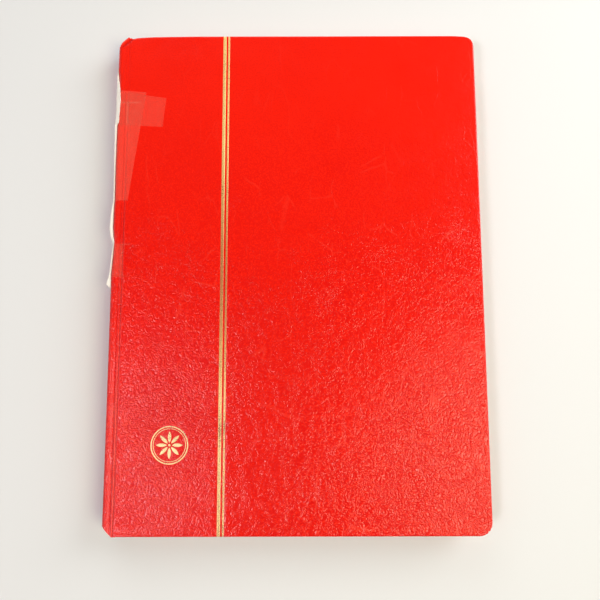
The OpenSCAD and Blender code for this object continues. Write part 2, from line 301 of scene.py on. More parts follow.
def case_columns(lines=()):
    """Places across the case, close together round the shoulder, in the joint and at the foil's edges."""
    flat_end = FORE_X - SPINE_X - CORNER_R
    edges = [e + d for pair in lines for e in pair for d in (-0.08, 0.06)]
    u = np.concatenate([
        np.arange(SHOULDER_R, 9.0, 0.2), np.linspace(9.2, flat_end, 118), edges,
        flat_end + (CORNER_R - EDGE_R) * np.sin(np.linspace(0, np.pi / 2, 11)[1:]),
    ])
    return np.concatenate([
        np.linspace(0, FACE_END, 7)[:-1], np.linspace(FACE_END, ROLL_END, 14)[:-1], along_case(np.unique(u)),
    ])


def turn_in_edge(p, normal, depth, s):
    """Inner edge of the turn-in: the nearest point of a rectangle set in from the case's outline,
    with short turn-ins on the stiffener."""
    width = SPINE_TURN_IN + (TURN_IN - SPINE_TURN_IN) * smooth_step(s, FACE_END - 0.5, ROLL_END)
    inner = p - normal * depth
    room = np.minimum(HALF_L - width, np.abs(p[:, 1]) - np.where(s < ROLL_END, SPINE_TURN_IN, 0))
    inner[:, 1] = np.clip(p[:, 1], -room, room)
    inner[:, 0] = np.where(s > ROLL_END, np.minimum(inner[:, 0], FORE_X - TURN_IN), inner[:, 0])
    return inner


def wrapped_edge(p, normal, uv, across):
    """Carries the points of an edge round what it covers: a quarter turn, a straight wall, a quarter turn
    and the turn-in. Returns the new points and their places laid flat, which run on by the distance
    gone."""
    out = np.cross(normal, np.gradient(p, axis=0))
    out = out / np.linalg.norm(out, axis=1, keepdims=True)
    depth, radius = wrap_depth(across)[:, None], wrap_radius(across)[:, None]
    flare = 0.7 * (1 - smooth_step(across, FACE_END - 0.5, FACE_END + 1.0))[:, None]
    turn = np.linspace(0, np.pi / 2, 6)[1:]
    wall = depth - 2 * radius
    steps = [(radius * np.sin(t), radius * (1 - np.cos(t)), radius * t) for t in turn]
    steps += [(radius, radius + q * wall, radius * np.pi / 2 + q * wall) for q in (0.5, 1.0)]
    steps += [(radius * np.cos(t), depth - radius * (1 - np.sin(t)), radius * (np.pi / 2 + t) + wall)
              for t in turn]
    rings = [p + out * (far + flare * drop) - normal * drop for far, drop, _ in steps]
    gone = [run for _, _, run in steps]
    folded, so_far, inner = rings[-1], gone[-1], turn_in_edge(p, normal, depth, across)
    for q in (0.25, 0.5, 0.75, 1.0):
        rings.append(folded * (1 - q) + inner * q)
        gone.append(so_far + TURN_IN * q)
    return np.stack(rings, 1), uv[:, None] + out[:, None, :2] * np.stack(gone, 1)


def leatherette_half(name, relief, lines=(), back=False):
    """One half of the covering, from the middle of the spine face to the fore-edge. A grid of columns from
    tail to head covers the face, and its edge is carried round the board at head, fore-edge and tail."""
    s = case_columns(lines)
    x = case_point(s, 0 * s)[0][:, 0]
    head, tail = end_of_column(x, s, 1), end_of_column(x, s, -1)
    fine = np.arange(0, 11, 0.7) / 300
    rows = np.unique(np.concatenate([fine, np.linspace(11 / 300, 1 - 11 / 300, 142), 1 - fine]))
    y = tail[:, None] + (head - tail)[:, None] * rows[None]
    points, normals = case_point(s[:, None], y, 0, relief)
    flat = places(s[:, None], y)
    n, m = y.shape
    index = np.arange(n * m).reshape(n, m)
    edge = np.concatenate([index[:, -1], index[-1, -2:0:-1], index[::-1, 0]])
    across = np.concatenate([s, np.full(m - 2, s[-1]), s[::-1]])
    at_edge = [grid.reshape(n * m, -1)[edge] for grid in (points, normals, flat)]
    ring_points, ring_uv = wrapped_edge(*at_edge, across)
    k = ring_points.shape[1]
    lattice = np.concatenate([edge[:, None], np.arange(len(edge) * k).reshape(-1, k) + n * m], 1)
    rim = np.stack([lattice[:-1, :-1], lattice[1:, :-1], lattice[1:, 1:], lattice[:-1, 1:]],
                   -1).reshape(-1, 4)
    faces = np.concatenate([grid_faces(n, m), rim])
    everything = np.concatenate([points.reshape(-1, 3), ring_points.reshape(-1, 3)])
    uv = np.concatenate([flat.reshape(-1, 2), ring_uv.reshape(-1, 2)])
    ring_s, ring_y = np.repeat(across, k), np.repeat(at_edge[0][:, 1], k)
    # Painted shade and highlight of the joint, shoulder, fold and tail, as a value per point
    dirt = np.concatenate([groove_dirt(flat[..., 0], y).ravel(), groove_dirt(ring_s, ring_y)])
    worn, grain = wear_of(everything, back), grain_of(everything)
    if back:
        everything[:, 2] = THICK - everything[:, 2]
        faces, uv = faces[:, ::-1], uv * [-1, 1]
    return thicken(put_mesh(name, everything, faces, uv, wear=worn, grain=grain, dirt=dirt), 0.2)


# Worn places of each cover: x and y from its middle, spread, and strength
WEAR_FRONT = (
    (109.9, -150.3, 0.9, 0.95), (111.3, -148.4, 0.7, 0.85), (108.0, -151.6, 0.6, 0.8),
    (110.9, 150.2, 0.75, 1.1), (111.7, 148.6, 0.7, 1.1),
)
WEAR_BACK = (
    (110.0, -150.8, 1.8, 1.0), (110.4, 150.4, 1.6, 1.0),
    (-108.4, -150.0, 1.5, 0.9), (-109.2, 150.4, 1.2, 0.8),
)

# Worn lines at the spine's corners of the front: two ends, half width and strength. The first, along the
# cap's rim, is also a painted highlight where the turned rim catches the light
WORN_LINES = (
    ((-110.2, 148.9), (-106.4, 152.0), 0.4, 0.30), ((-106.6, 151.7), (-106.1, 152.2), 0.5, 1.0),
    ((-112.2, -147.2), (-107.4, -152.3), 0.35, 0.45),
)

# Where the hands hold the album, near the tail's corners: middle, spread squared and strength
HANDLED = ((-88, -112, 1800, 1.0), (80, -118, 3200, 1.15))


def wear_of(points, back):
    """Wear from 0 to 1: bell shapes at the knocked corners, raised cosines along the worn lines, the first of
    which is also a painted highlight, and a thin, uneven band that follows the outer edges."""
    x, y = points[:, 0], points[:, 1]
    total = 0 * x
    for px, py, spread, strength in WEAR_BACK if back else WEAR_FRONT:
        total = np.maximum(total, strength * np.exp(-((x - px) ** 2 + (y - py) ** 2) / (2 * spread ** 2)))
    for a, b, half, strength in () if back else WORN_LINES:
        total = np.maximum(total, strength * hump(to_segment(x, y, a, b), 0, half))
    rim = np.maximum(smooth_step(np.abs(y), HALF_L - 0.55, HALF_L - 0.1),
                     smooth_step(x, FORE_X - 0.5, FORE_X - 0.05))
    return np.maximum(total, rim * (0.30 + 0.16 * waves(x, y, 14, 31)))


def groove_dirt(s, y):
    """Painted shade, up to 1: along the valley and the groove, less towards the head; round the shoulder,
    where it turns away from the light; in the fold of the cap's corner; and, faintly, over the tail from
    the spine to past its middle. It is also darker between the foil's lines. Below 0 it is lighter, a
    painted highlight beside the valley and on the crest towards the tail, and on the cap's rim, which is
    also worn; and lighter along the fore-edge towards the tail. Each is a raised cosine or a smooth step
    across."""
    u = from_spine(s)
    tail = 1 - smooth_step(y, -95, -15)
    # Painted shade in the groove and the valley
    joint = np.maximum(0.74 * hump(u, GROOVE_AT - 0.1, 0.5), (0.28 + 0.32 * tail) * hump(u, VALLEY_AT, 0.7))
    # Painted highlight beside the valley and, towards the tail, on the crest
    joint = joint - (0.16 + 0.34 * tail) * hump(u, 2.9, 1.5)
    joint = joint * (1 - 0.82 * smooth_step(y, 20, 90)) - 0.9 * tail * hump(u, CREST_AT, 0.42)
    # Painted shade round the shoulder, where it turns away from the light
    shoulder = 0.30 * smooth_step(u, -3.2, -1.2) * (1 - smooth_step(u, 0.3, 1.6))
    between = 0.62 * hump(u, (WIDE_LINE[1] + NARROW_LINE[0]) / 2, 0.62)
    # Painted shade in the fold of the cap's corner
    fold = 0.55 * hump(to_segment(u, HALF_L - y, *HEAD_FOLD), 0, 1.05)
    # Painted highlight on the cap's rim, which is also worn
    rim = np.minimum(*(to_segment(u, HALF_L - y, a, b) for a, b in zip(CAP_RIM, CAP_RIM[1:])))
    fore = smooth_step(u, FORE_X - SPINE_X - 1.1, FORE_X - SPINE_X - 0.4) * smooth_step(-y, -60, 60)
    # Painted shade, faint, over the tail from the spine to past its middle
    painted_tail_shade = 0.10 * smooth_step(-y, -30, 60) * (1 - smooth_step(u, 90, 165)) * smooth_step(u, 8, 30)
    dark = painted_tail_shade + joint + np.maximum(np.maximum(shoulder, between), fold)
    return dark - 1.1 * hump(rim, 0, 1.0) - 0.5 * fore


def grain_of(points):
    """How far the grain stands out, in its bump and in its painted shade and highlight: smooth at the head,
    full towards the handled tail, and most near its corners, where bell shapes are added."""
    x, y = points[:, 0], points[:, 1]
    corner = sum(k * np.exp(-((x - px) ** 2 + (y - py) ** 2) / spread) for px, py, spread, k in HANDLED)
    return np.clip(0.12 + 0.95 * smooth_step(-y, -140, 30) + 0.15 * waves(x, y, 90, 41) + 0.5 * corner,
                   0.1, 1.6)


# ---------------------------------------------------------------- materials

def material(name):
    """A new node material: returns it, its tree and its shader."""
    made = bpy.data.materials.new(name)
    made.use_nodes = True
    return made, made.node_tree, made.node_tree.nodes["Principled BSDF"]


def feed(tree, node, **inputs):
    """Gives a node's inputs numbers, colours or another node's output. An input goes by its name, with __
    for a space, or by i and its number."""
    for key, value in inputs.items():
        by_number = key[0] == "i" and key[1:].isdigit()
        socket = node.inputs[int(key[1:]) if by_number else key.replace("__", " ")]
        if isinstance(value, bpy.types.NodeSocket):
            tree.links.new(value, socket)
        else:
            socket.default_value = value


def add(tree, kind, settings=None, **inputs):
    """Adds a node with its settings and inputs."""
    node = tree.nodes.new("ShaderNode" + kind)
    for key, value in (settings or {}).items():
        setattr(node, key, value)
    feed(tree, node, **inputs)
    return node


def colour(r, g, b):
    """A colour written as 0 to 255 on a screen, in linear light."""
    c = np.array([r, g, b]) / 255
    c = np.where(c <= 0.04045, c / 12.92, ((c + 0.055) / 1.055) ** 2.4)
    return (*c, 1.0)


def ramp(tree, value, *stops):
    """A colour ramp with the given (place, colour or grey) stops."""
    node = add(tree, "ValToRGB", Fac=value)
    steps = node.color_ramp.elements
    while len(steps) < len(stops):
        steps.new(0.5)
    for step, (place, shade) in zip(steps, stops):
        step.position = place
        step.color = shade if hasattr(shade, "__len__") else (shade, shade, shade, 1)
    return node.outputs["Color"]


def mix(tree, share, a, b):
    """Mixes two colours."""
    return add(tree, "MixRGB", Fac=share, Color1=a, Color2=b).outputs[0]


def maths(tree, operation, a, b=0.0, c=0.0):
    """One sum on two or three numbers."""
    return add(tree, "Math", {"operation": operation}, i0=a, i1=b, i2=c).outputs[0]


def times(tree, a, b):
    """Two numbers multiplied."""
    return maths(tree, "MULTIPLY", a, b)


def plus(tree, a, b):
    """Two numbers added."""
    return maths(tree, "ADD", a, b)


def less(tree, a, b):
    """The first number less the second."""
    return maths(tree, "SUBTRACT", a, b)


def measure(tree, name):
    """A value that the mesh carries at each point."""
    return add(tree, "Attribute", {"attribute_name": name}).outputs["Fac"]


def scaled(tree, place, scale, turn=0.0):
    """A place scaled along each axis, then turned."""
    return add(tree, "Mapping", i0=place, Rotation=(0, 0, turn), Scale=scale).outputs[0]


def flat_place(tree):
    """Place on the piece laid flat, in millimetres."""
    return scaled(tree, add(tree, "UVMap", {"uv_map": "Laid_flat"}).outputs[0], (1000, 1000, 1000))


def solid_place(tree):
    """Place in the piece, in millimetres."""
    return scaled(tree, add(tree, "TexCoord").outputs["Object"], (1000, 1000, 1000))


def strayed(tree, place, scale, detail, far):
    """A place moved by soft noise, up to far millimetres along each side."""
    soft = add(tree, "TexNoise", Vector=place, Scale=scale, Detail=detail).outputs["Color"]
    return add(tree, "VectorMath", {"operation": "MULTIPLY_ADD"},
               i0=soft, i1=(far, far, 0), i2=place).outputs[0]


def noise(tree, place, scale, detail=4.0, rough=0.55):
    """Fractal noise; scale is in turns per millimetre."""
    return add(tree, "TexNoise", Vector=place, Scale=scale, Detail=detail, Roughness=rough).outputs["Fac"]


def cell_edges(tree, place, scale):
    """Distance to the nearest border between irregular cells."""
    return add(tree, "TexVoronoi", {"feature": "DISTANCE_TO_EDGE"},
               Vector=place, Scale=scale).outputs["Distance"]


def bump(tree, shader, *layers):
    """Chains bump layers of (height, strength, depth in mm) into the shader's normal."""
    normal = None
    for height, strength, depth in layers:
        node = add(tree, "Bump", Height=height, Strength=strength, Distance=depth * MM)
        if normal is not None:
            tree.links.new(normal, node.inputs["Normal"])
        normal = node.outputs[0]
    tree.links.new(normal, shader.inputs["Normal"])


def leatherette_material():
    """Coated cloth with an embossed grain: pebbles from smooth cells, wrinkles from the borders of cells
    stretched one way or the other, and long creases from those of large cells. All show where the album is
    handled; there the grain has painted shade in its hollows and wrinkles, a painted highlight on its
    crests and creases and a painted glint on the crests, and where the red coat is worn through the cloth
    shows white."""
    made, tree, shader = material("red_leatherette")
    place = flat_place(tree)
    handled, dirt = measure(tree, "grain"), measure(tree, "dirt")
    bent = strayed(tree, place, 0.16, 2.0, 5)
    pebble = add(tree, "TexVoronoi", {"feature": "SMOOTH_F1"}, Vector=bent, Scale=1.05, Smoothness=0.25)
    pebble = pebble.outputs["Distance"]
    lying = cell_edges(tree, scaled(tree, bent, (0.5, 1.5, 1), 0.12), 0.72)
    slant = cell_edges(tree, scaled(tree, bent, (0.95, 0.5, 1), 0.5), 0.55)
    turned = ramp(tree, noise(tree, place, 0.018, 2.0), (0.45, 0.0), (0.55, 1.0))
    wrinkle = ramp(tree, mix(tree, turned, lying, slant), (0.0, 0.0), (0.16, 1.0))
    patches = ramp(tree, noise(tree, place, 0.03, 3.0), (0.38, 0.15), (0.62, 1.0))
    wrinkle = mix(tree, times(tree, patches, handled), (1, 1, 1, 1), wrinkle)
    slack = strayed(tree, place, 0.06, 3.0, 7)
    crease = cell_edges(tree, scaled(tree, slack, (1.0, 0.42, 1), 0.06), 0.085)
    crease = mix(tree, ramp(tree, noise(tree, place, 0.05, 3.0), (0.50, 0.0), (0.60, 1.0)), (0, 0, 0, 1),
                 ramp(tree, crease, (0.008, 1.0), (0.030, 0.0)))
    # Painted shade in the grain's hollows and a painted highlight on its crests
    hollow = times(tree, ramp(tree, pebble, (0.30, 0.0), (0.60, 1.0)), handled)
    crest = times(tree, ramp(tree, pebble, (0.08, 1.0), (0.30, 0.0)), handled)
    # A painted glint on the crests, strongest where the grain is handled most
    rubbed = add(tree, "MapRange", Value=handled, i1=1.1, i2=1.5, i3=0.0, i4=0.32).outputs[0]
    fine = noise(tree, place, 1.1, 3.0)
    grit = ramp(tree, fine, (0.40, 1.0), (0.52, 0.0))
    swell = noise(tree, place, 0.09, 3.0)
    tone = ramp(tree, noise(tree, place, 0.02, 3.0), (0.3, 0.0), (0.7, 1.0))
    red = mix(tree, tone, colour(244, 27, 4), colour(251, 31, 6))
    # Painted shade in the hollows and wrinkles, a painted highlight on the crests and creases, a painted
    # glint on handled crests; the grit is the coat's own tone; last, the painted shade and highlight of the
    # joint, shoulder, fold and tail
    for where, strength, tint in (
            (hollow, 0.74, (224, 12, 4)), (crest, 0.42, (253, 50, 22)), (crest, rubbed, (255, 140, 112)),
            (less(tree, 1.0, wrinkle), 0.45, (220, 12, 5)), (grit, 0.46, (228, 14, 5)),
            (times(tree, crease, handled), 0.30, (255, 66, 46)), (dirt, 1.0, (164, 5, 7)),
            (dirt, -0.6, (255, 96, 82))):
        red = mix(tree, times(tree, where, strength), red, colour(*tint))
    ragged = maths(tree, "MULTIPLY_ADD", noise(tree, place, 1.3, 5.0, 0.7), 0.9, -0.45)
    bare = ramp(tree, plus(tree, measure(tree, "wear"), ragged), (0.46, 0.0), (0.62, 1.0))
    red = mix(tree, bare, red, mix(tree, fine, colour(226, 180, 166), colour(244, 230, 220)))
    gloss = add(tree, "MapRange", Value=swell, i1=0.3, i2=0.7, i3=0.205, i4=0.245).outputs[0]
    # Rougher where the coat is worn bare, and a little where the painted shade lies
    gloss = mix(tree, maths(tree, "MAXIMUM", bare, times(tree, dirt, 0.12)), gloss, (0.85, 0.85, 0.85, 1))
    feed(tree, shader, Base__Color=red, Roughness=gloss)
    shader.inputs["Specular IOR Level"].default_value = 0.4
    bump(tree, shader, (swell, 0.3, 0.8), (times(tree, pebble, handled), 0.9, -0.16), (wrinkle, 0.6, 0.08),
         (crease, 0.5, 0.08), (fine, 0.4, 0.04))
    return made


def gold_foil_material():
    """Hot-pressed foil: it breaks up over the grain in fine specks, thickest along a line's middle, is rubbed
    browner where the album is handled, and the coat below shows through."""
    made, tree, shader = material("gold_foil")
    place = flat_place(tree)
    middle, rubbed, pale = (measure(tree, name) for name in ("middle", "rubbed", "pale"))
    specks = noise(tree, place, 1.6, 4.0, 0.75)
    patches = noise(tree, place, 0.05, 3.0)
    loss = plus(tree, specks, times(tree, less(tree, patches, 0.5), 0.3))
    loss = less(tree, loss, times(tree, middle, times(tree, pale, 0.09)))
    kept = ramp(tree, loss, (0.36, 0.0), (0.46, 1.0))
    shade = mix(tree, ramp(tree, specks, (0.35, 0.0), (0.65, 1.0)),
                colour(255, 200, 114), colour(255, 230, 152))
    shade = mix(tree, pale, shade, colour(250, 216, 158))
    rub = times(tree, rubbed, ramp(tree, patches, (0.3, 0.75), (0.7, 1.0)))
    shade = mix(tree, rub, shade, mix(tree, specks, colour(176, 84, 38), colour(214, 140, 84)))
    feed(tree, shader, Base__Color=mix(tree, kept, colour(124, 66, 26), shade),
         Metallic=ramp(tree, kept, (0.0, 0.08), (1.0, 0.28)),
         Roughness=ramp(tree, specks, (0.3, 0.26), (0.7, 0.44)))
    bump(tree, shader, (specks, 0.5, 0.06), (noise(tree, place, 0.8, 3.0), 0.4, 0.1))
    return made


def paper_material(name, tint, shade, tooth):
    """Paper or card: long fibres from stretched noise, a faint cloudiness, and a fine tooth."""
    made, tree, shader = material(name)
    place = solid_place(tree)
    cloud = noise(tree, place, 0.03, 4.0)
    fibre = noise(tree, scaled(tree, place, (0.5, 3.2, 3.2)), 1.4, 4.0, 0.6)
    base = mix(tree, ramp(tree, cloud, (0.3, 0.0), (0.7, 1.0)), colour(*tint), colour(*shade))
    base = mix(tree, times(tree, fibre, 0.12), base, colour(*[c * 0.86 for c in shade]))
    feed(tree, shader, Base__Color=base, Roughness=ramp(tree, fibre, (0.3, 0.72), (0.7, 0.9)))
    shader.inputs["Specular IOR Level"].default_value = 0.3
    bump(tree, shader, (fibre, tooth, 0.03), (noise(tree, place, 0.25, 3.0), 0.25, 0.12))
    return made


def greyboard_material():
    """Pulp board: grey-brown with dark and pale flecks and a soft, open tooth."""
    made, tree, shader = material("grey_board")
    place = solid_place(tree)
    fleck = add(tree, "TexVoronoi", Vector=place, Scale=0.9).outputs["Distance"]
    pulp = noise(tree, place, 0.8, 5.0, 0.7)
    base = mix(tree, pulp, colour(120, 112, 100), colour(164, 156, 142))
    base = mix(tree, ramp(tree, fleck, (0.06, 1.0), (0.14, 0.0)), base, colour(78, 70, 62))
    feed(tree, shader, Base__Color=base, Roughness=ramp(tree, pulp, (0.3, 0.85), (0.7, 0.98)))
    bump(tree, shader, (pulp, 0.6, 0.08))
    return made


def woven_material(name, warp, weft, pitch):
    """Plain weave laid flat: two crossed sine waves of threads, one over where the other is under."""
    made, tree, shader = material(name)
    place = strayed(tree, flat_place(tree), 0.6, 2.0, 0.4 * pitch)
    parts = add(tree, "SeparateXYZ", i0=place).outputs
    one, two = (maths(tree, "SINE", times(tree, part, np.pi / pitch)) for part in (parts[0], parts[1]))
    over = times(tree, one, two)
    ridge = maths(tree, "MAXIMUM", maths(tree, "ABSOLUTE", one), maths(tree, "ABSOLUTE", two))
    fibre = noise(tree, place, 2.4 / pitch, 3.0)
    base = mix(tree, ramp(tree, over, (0.0, 0.0), (1.0, 1.0)), colour(*warp), colour(*weft))
    base = mix(tree, times(tree, fibre, 0.3), base, colour(*[c * 0.7 for c in weft]))
    feed(tree, shader, Base__Color=base, Roughness=ramp(tree, fibre, (0.3, 0.8), (0.7, 0.95)))
    shader.inputs["Sheen Weight"].default_value = 0.25
    bump(tree, shader, (ridge, 0.6, pitch * 0.25), (fibre, 0.4, 0.03))
    return made


def clear_tape_material():
    """Aged clear tape: milky where air lies under it, with faint bands along its length; where it has wetted
    the coat it deepens the red instead."""
    made, tree, shader = material("clear_tape")
    place = flat_place(tree)
    bands = noise(tree, scaled(tree, place, (1.0, 0.03, 1)), 0.6, 3.0)
    blots = noise(tree, place, 0.22, 4.0)
    uneven = plus(tree, times(tree, bands, 0.9), times(tree, blots, 0.5))
    milk = times(tree, times(tree, measure(tree, "air"), plus(tree, uneven, 0.3)), 0.5)
    feed(tree, shader,
         Base__Color=ramp(tree, milk, (0.03, colour(220, 14, 8)), (0.12, colour(255, 190, 160))),
         Alpha=ramp(tree, milk, (0.0, 0.014), (0.12, 0.024), (0.42, 0.044), (0.8, 0.10)),
         Roughness=ramp(tree, blots, (0.3, 0.16), (0.7, 0.30)))
    bump(tree, shader, (bands, 0.4, 0.10), (blots, 0.3, 0.3))
    return made


def torn_paper_material():
    """Torn backing: white pulp, cloudy and creamier in places, with loose darker fibres."""
    made, tree, shader = material("torn_paper")
    place = flat_place(tree)
    fibre = noise(tree, scaled(tree, place, (0.6, 2.2, 1)), 1.8, 5.0, 0.7)
    base = mix(tree, noise(tree, place, 0.3, 3.0), colour(254, 251, 244), colour(248, 238, 224))
    base = mix(tree, ramp(tree, fibre, (0.62, 0.0), (0.75, 0.4)), base, colour(214, 190, 168))
    feed(tree, shader, Base__Color=base, Roughness=ramp(tree, fibre, (0.3, 0.8), (0.7, 0.95)))
    bump(tree, shader, (fibre, 0.7, 0.08))
    return made


def film_material(name, tint, alpha, rough, cloudy):
    """Thin clear film or glassine: see-through, glossy, with cloudy fibre and soft cockles."""
    made, tree, shader = material(name)
    place = solid_place(tree)
    cloud = noise(tree, place, cloudy, 4.0)
    fibre = noise(tree, scaled(tree, place, (0.4, 2.0, 2.0)), 0.9, 4.0)
    seen = plus(tree, times(tree, cloud, 0.5), times(tree, fibre, 0.5))
    feed(tree, shader, Base__Color=colour(*tint),
         Alpha=ramp(tree, seen, (0.3, alpha - 0.08), (0.7, alpha + 0.08)),
         Roughness=ramp(tree, cloud, (0.3, rough), (0.7, rough + 0.12)))
    bump(tree, shader, (cloud, 0.3, 0.3), (fibre, 0.2, 0.03))
    return made


# Pitch along the headband of its colours and of its thread
BAND_PITCH, SILK_PITCH = 1.8, 0.3


def headband_material():
    """Silk worked over a core: red and cream bands that wind round it, with the thread's fine lines."""
    made, tree, shader = material("headband_silk")
    parts = add(tree, "SeparateXYZ", i0=flat_place(tree)).outputs
    wind = plus(tree, parts[1], times(tree, parts[0], 0.12))
    band = maths(tree, "SINE", times(tree, wind, 2 * np.pi / BAND_PITCH))
    thread = maths(tree, "ABSOLUTE", maths(tree, "SINE", times(tree, wind, np.pi / SILK_PITCH)))
    base = mix(tree, ramp(tree, maths(tree, "MULTIPLY_ADD", band, 0.5, 0.5), (0.45, 0.0), (0.55, 1.0)),
               colour(236, 226, 200), colour(176, 28, 24))
    base = mix(tree, ramp(tree, thread, (0.0, 0.5), (0.4, 0.0)), base, colour(96, 60, 40))
    feed(tree, shader, Base__Color=base, Roughness=ramp(tree, thread, (0.0, 0.7), (1.0, 0.42)))
    bump(tree, shader, (thread, 0.6, 0.06))
    return made


RED = leatherette_material()
GOLD = gold_foil_material()
TORN_PAPER = torn_paper_material()
CLEAR_TAPE = clear_tape_material()
GREY_BOARD = greyboard_material()
ENDPAPER = paper_material("endpaper", (246, 241, 228), (238, 231, 214), 0.6)
PAGE_CARD = paper_material("page_card", (251, 249, 244), (245, 242, 234), 0.35)
GUARD_PAPER = paper_material("sewn_guard", (236, 229, 212), (224, 214, 194), 0.7)
THREAD = woven_material("thread", (244, 240, 228), (226, 218, 198), 0.1)
LINEN = woven_material("linen", (240, 234, 218), (228, 220, 200), 0.34)
MULL = woven_material("mull", (226, 218, 196), (206, 196, 170), 0.8)
POCKET_FILM = film_material("pocket_film", (248, 251, 251), 0.10, 0.12, 0.05)
GLASSINE = film_material("glassine", (250, 250, 246), 0.50, 0.34, 0.12)
HEADBAND = headband_material()


def finish_piece(piece, look, stands_for=()):
    """Gives a piece its material and hides the solids that it stands for."""
    piece.data.materials.clear()
    piece.data.materials.append(look)
    if stands_for:
        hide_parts(*stands_for)
    return piece


def dress(node, look):
    """Gives a solid that is kept as it is its finished material."""
    cad[node].data.materials.clear()
    cad[node].data.materials.append(look)


def bend_front(piece):
    """Bakes a piece's place into its mesh."""
    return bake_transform(piece)


def bend_back(piece):
    """Bakes a piece's place into its mesh."""
    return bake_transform(piece)


# ---------------------------------------------------------------- boards, and foil on the front cover

def cover_board(name, stands_for, body, back=False):
    """A board under its leatherette, from the joint to the fore-edge. Its outline is the end of the
    covering's face moved outwards, square to itself, to the covering's inner side, so it is dented where
    the covering is."""
    bend = (CORNER_R - EDGE_R) * np.sin(np.linspace(0, np.pi / 2, 18)[1:])
    x = np.concatenate([SPINE_X + BOARD_AT + 43 * np.linspace(0, 1, 60),
                        np.linspace(SPINE_X + 60, FORE_X - CORNER_R, 12), FORE_X - CORNER_R + bend])
    s = along_case(x - SPINE_X)
    reach = wrap_radius(s) - SKIN_T
    ends = []
    for side in (-1, 1):
        y = end_of_column(x, s, side)
        across, along = -side * np.gradient(y), np.gradient(x)
        across[-1], along[-1] = 1, 0
        size = np.hypot(across, along)
        ends.append(places(x + reach * across / size, y + side * reach * along / size, THICK - SKIN_T))
    part = np.linspace(0, 1, 60)[None, :, None]
    points = ends[0][:, None] * (1 - part) + ends[1][:, None] * part
    if back:
        points = points * [1, 1, -1] + [0, 0, THICK]
    piece = thicken(put_grid(name, points, flip=back), BOARD_T)
    piece.data.polygons.foreach_set("use_smooth", [False] * len(piece.data.polygons))
    finish_piece(piece, GREY_BOARD, (stands_for,))
    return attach(piece, body)


def foil_line(name, ends, stands_for):
    """A stamped line: a narrow grid in its bed, carried over the rounded edges at head and tail."""
    gap, lift = 0.03, 0.028
    u = np.linspace(ends[0] + gap, ends[1] - gap, 5)
    s = along_case(u)
    head, tail = (end_of_column(SPINE_X + u, s, side)[:, None] for side in (1, -1))
    over = np.radians([60, 45, 30, 15])[None]
    y = np.concatenate([tail - EDGE_R * np.sin(over), tail + (head - tail) * np.linspace(0, 1, 200)[None],
                        head + EDGE_R * np.sin(over[:, ::-1])], 1)
    drop = EDGE_R * (1 - np.cos(np.concatenate([over[0], np.zeros(200), over[0, ::-1]])))
    points, _ = case_point(s[:, None], np.clip(y, tail, head), lift)
    points[..., 1] = y
    points[..., 2] -= drop
    middle = np.broadcast_to(1 - np.abs(np.linspace(-1, 1, 5))[:, None], y.shape)
    v = HALF_L - y
    piece = put_grid(name, points, places(s[:, None], y), middle=middle,
                     rubbed=np.maximum(hump(v, 154, 94), 0.30 * smooth_step(v, 215, 290)),
                     pale=0.7 * smooth_step(v, 195, 240))
    finish_piece(thicken(piece, FOIL_T), GOLD, (stands_for,))
    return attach(piece, "front_cover")


def ring_patch(r_out, r_in):
    """A flat ring round the ornament's middle, as places on the cover: angle by width."""
    angle, r = np.meshgrid(np.linspace(0, 2 * np.pi, 97), np.linspace(r_out, r_in, 4), indexing="ij")
    return r * np.cos(angle), r * np.sin(angle)


def petal_patch(turn):
    """One petal: the overlap of two circles, its half width the bow's height at each place along it."""
    start, half, bow = 1.4, 3.225, 5.652
    t, q = np.meshgrid(np.linspace(-1, 1, 17) * half * 0.999, np.linspace(-1, 1, 7), indexing="ij")
    wide = q * (np.sqrt(bow ** 2 - t ** 2) - np.sqrt(bow ** 2 - half ** 2))
    far = start + half + t
    return wide * np.cos(turn) - far * np.sin(turn), wide * np.sin(turn) + far * np.cos(turn)


def ornament(petals=8):
    """Two rings round a rosette of petals, each patch laid on the cover with a slight crown."""
    patches = [ring_patch(ORNAMENT_R, ORNAMENT_R - 0.7), ring_patch(9.6, 9.25), ring_patch(0.7, 0.01)]
    patches += [petal_patch(2 * np.pi * k / petals) for k in range(petals)]
    points, faces, flat, first = [], [], [], 0
    for dx, dy in patches:
        u, y = ORNAMENT_AT + dx, ORNAMENT_UP - HALF_L + dy
        crown = 1 - np.linspace(-1, 1, dx.shape[1])[None] ** 2
        lifted, _ = case_point(along_case(u), y, 0.03 + 0.03 * crown)
        points.append(lifted.reshape(-1, 3))
        flat.append(places(u, y).reshape(-1, 2))
        faces.append(grid_faces(*dx.shape, first=first))
        first += dx.size
    points, flat, faces = np.concatenate(points), np.concatenate(flat), np.concatenate(faces)
    a, b, c = (points[faces[:, i]] for i in range(3))
    down = np.cross(b - a, c - b)[:, 2] < 0
    faces[down] = faces[down][:, ::-1]
    piece = put_mesh("gold_ornament", points, faces, flat, pale=np.ones(len(points)))
    finish_piece(thicken(piece, FOIL_T), GOLD, ("gold_medallion",))
    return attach(piece, "front_cover")


# ---------------------------------------------------------------- torn spine edge and repair tape

# Thickness of the torn paper
TORN_T = 0.12


